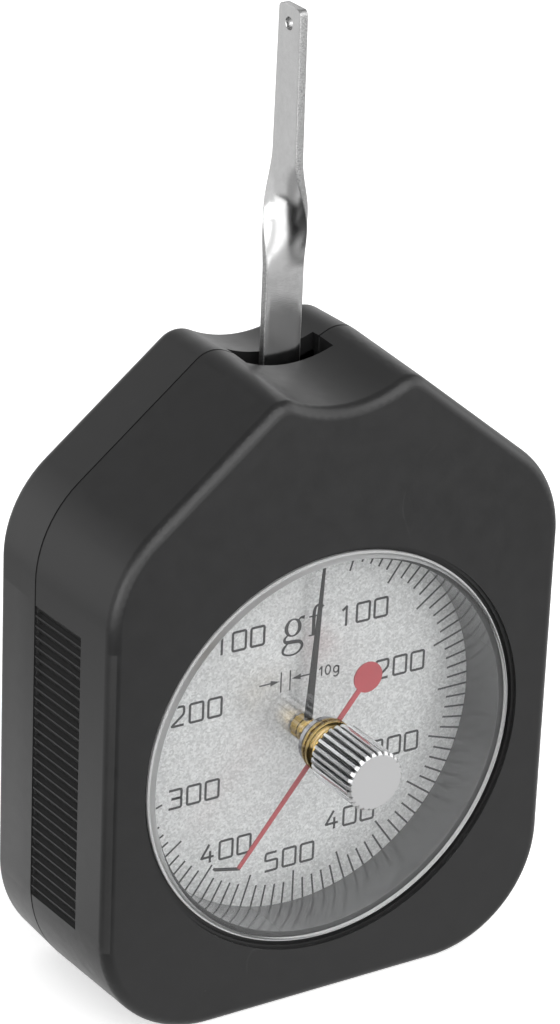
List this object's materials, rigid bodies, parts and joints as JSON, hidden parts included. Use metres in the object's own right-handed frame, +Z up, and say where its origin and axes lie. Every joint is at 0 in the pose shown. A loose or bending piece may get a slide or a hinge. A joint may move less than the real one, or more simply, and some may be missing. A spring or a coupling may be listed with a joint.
{
  "type": "dial force gauge",
  "caption": "Hand-held dial force gauge: gabled black case, round window, knurled knob with a red drag pointer, and a twisted feeler lever that swings out of the top.",
  "frame": {"origin": "middle of the flat base of the case, half way between its front and rear faces", "axes": "+Z up from the base towards the feeler, -Y out of the dial towards the reader, +X to the reader's right"},
  "size_m": [0.0596, 0.0327, 0.1128],
  "materials": {
    "case_plastic": "matte black, fine moulded grain",
    "lens_plastic": "clear, polished",
    "turned_brass": "turned, lightly lacquered",
    "plate_brass": "flat, brushed",
    "knob_chrome": "plated, fluted",
    "screw_steel": "nickel plated",
    "spring_steel": "satin",
    "blade_steel": "bright nickel plated, sheared edges",
    "red_pointer": "red enamel, black foot",
    "black_pointer": "black enamel",
    "dial_silver": "fine sparkling silver with dark grey print"
  },
  "bodies": {
    "case": {"front_case": "case_plastic", "rear_cover": "case_plastic", "case_screws": "screw_steel", "window_lens": "lens_plastic", "lens_bush": "turned_brass", "dial_plate": "dial_silver", "hairspring": "spring_steel", "hairspring_stud": "turned_brass", "front_plate": "plate_brass", "rear_plate": "plate_brass", "plate_pillars": "turned_brass", "pillar_screws": "screw_steel", "movement_screws": "screw_steel", "arbor_bushes": "turned_brass", "measuring_spring": "spring_steel", "spring_block": "turned_brass", "spring_block_screws": "screw_steel", "stop_pins": "screw_steel"},
    "lever": {"lever_blade": "blade_steel", "lever_carrier": "spring_steel", "blade_rivets": "screw_steel", "lever_hub": "turned_brass", "hub_rivets": "screw_steel", "lever_arbor": "screw_steel", "sector_gear": "plate_brass"},
    "pointer": {"centre_arbor": "screw_steel", "pinion": "screw_steel", "pointer_collet": "turned_brass", "main_pointer": "black_pointer", "hairspring_collet": "turned_brass"},
    "drag": {"knob": "knob_chrome", "knob_spindle": "screw_steel", "friction_washer": "spring_steel", "drag_pointer": "red_pointer", "drag_hub": "spring_steel"}
  },
  "joints": [
    {"name": "lever_swing", "type": "hinge", "parent": "case", "child": "lever", "pos_m": [0, 0.003, 0.05715], "axis": [0, 1, 0], "range_deg": [-8.8, 9.2], "stiffness_Nm_per_rad": 1.7, "deforming": ["measuring_spring"]},
    {"name": "pointer_spin", "type": "hinge", "parent": "case", "child": "pointer", "pos_m": [0, 0, 0.0309], "axis": [0, 1, 0], "range_deg": [-184.5, 176.5], "deforming": ["hairspring"]},
    {"name": "drag_turn", "type": "hinge", "parent": "case", "child": "drag", "pos_m": [0, 0, 0.0309], "axis": [0, 1, 0], "range_deg": [-32, 322]}
  ],
  "couplings": [
    {"joint": "pointer_spin", "follows": "lever_swing", "ratio": -20}
  ]
}
